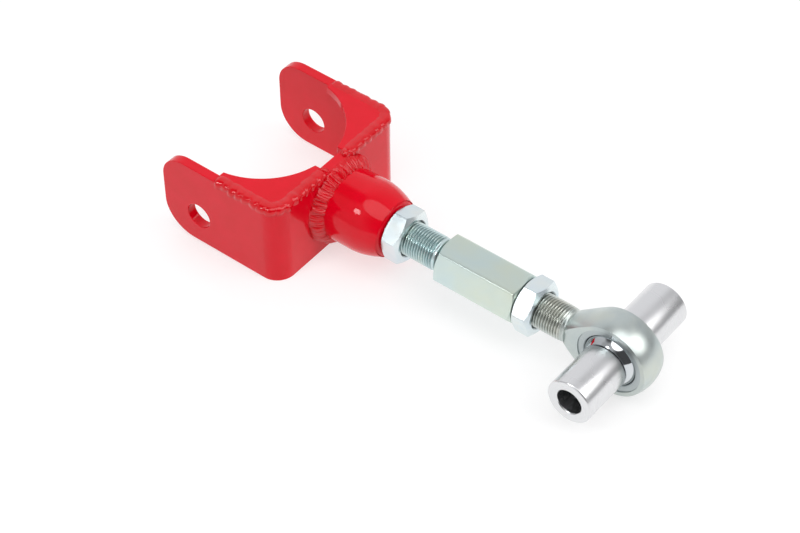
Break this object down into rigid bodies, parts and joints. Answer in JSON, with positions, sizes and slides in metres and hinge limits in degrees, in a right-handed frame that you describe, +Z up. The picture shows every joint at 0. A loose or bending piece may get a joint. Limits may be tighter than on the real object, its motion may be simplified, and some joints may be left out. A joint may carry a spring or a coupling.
{
  "type": "adjustable control arm",
  "caption": "Adjustable suspension control arm: a welded fork bracket, a threaded hexagonal adjuster locked by jam nuts, and a spherical rod end with misalignment spacers.",
  "frame": {"origin": "centre of the arm's bounding box at the height of the fork bracket's lower edge", "axes": "+X along the arm from the fork bracket to the rod end, +Y along the fork's bolt and the rod end's bolt, +Z up"},
  "size_m": [0.2788, 0.1002, 0.0536],
  "materials": {
    "red_powder_coat": "glossy saturated red powder coat over mild steel, slight orange peel",
    "red_coated_weld": "the same red coat over rippled weld beads, very glossy",
    "bright_zinc": "bright blue-white zinc plate",
    "clear_zinc": "clear zinc plate with faint blue and yellow iridescence",
    "satin_zinc": "smooth satin zinc plate, greenish grey",
    "race_steel": "ground bearing steel, plated with the body",
    "liner_ptfe": "dark woven low-friction liner",
    "ball_chrome": "polished hard chrome",
    "machined_aluminium": "bright turned aluminium with fine circumferential tool marks"
  },
  "bodies": {
    "bracket": {"fork_bracket": "red_powder_coat", "gusset_left": "red_powder_coat", "gusset_right": "red_powder_coat", "gusset_weld_left": "red_coated_weld", "gusset_weld_right": "red_coated_weld", "threaded_bung": "red_powder_coat", "bung_weld": "red_coated_weld"},
    "bung_nut": {"bung_jam_nut": "bright_zinc"},
    "adjuster": {"hex_adjuster": "clear_zinc"},
    "rod_end_nut": {"rod_end_jam_nut": "bright_zinc"},
    "rod_end": {"rod_end_body": "satin_zinc", "bearing_race": "race_steel"},
    "liner": {"race_liner": "liner_ptfe"},
    "bearing_ball": {"ball": "ball_chrome"},
    "spacers": {"spacer_left": "machined_aluminium", "spacer_right": "machined_aluminium"}
  },
  "joints": [
    {"name": "adjuster_travel", "type": "slide", "parent": "bracket", "child": "bung_nut", "axis": [1, 0, 0], "range_m": [0, 0.0127]},
    {"name": "adjuster_turn", "type": "hinge", "parent": "bung_nut", "child": "adjuster", "pos_m": [0.0105, 0, 0.0261], "axis": [1, 0, 0], "range_deg": [0, 2880]},
    {"name": "rod_end_travel", "type": "slide", "parent": "bung_nut", "child": "rod_end_nut", "axis": [1, 0, 0], "range_m": [0, 0.0127]},
    {"name": "rod_end_clocking", "type": "hinge", "parent": "rod_end_nut", "child": "rod_end", "pos_m": [0.1166, 0, 0.0261], "axis": [1, 0, 0], "range_deg": [-30, 30]},
    {"name": "ball_tilt_x", "type": "hinge", "parent": "rod_end", "child": "liner", "pos_m": [0.1166, 0, 0.0261], "axis": [1, 0, 0], "range_deg": [-10, 10]},
    {"name": "ball_tilt_z", "type": "hinge", "parent": "liner", "child": "bearing_ball", "pos_m": [0.1166, 0, 0.0261], "axis": [0, 0, 1], "range_deg": [-10, 10]},
    {"name": "bolt_spin", "type": "hinge", "parent": "bearing_ball", "child": "spacers", "pos_m": [0.1166, 0, 0.0261], "axis": [0, 1, 0], "continuous": true}
  ],
  "couplings": [
    {"joint": "adjuster_turn", "follows": "adjuster_travel", "rad_per_m": 3957.9},
    {"joint": "rod_end_travel", "follows": "adjuster_travel", "ratio": 1}
  ]
}
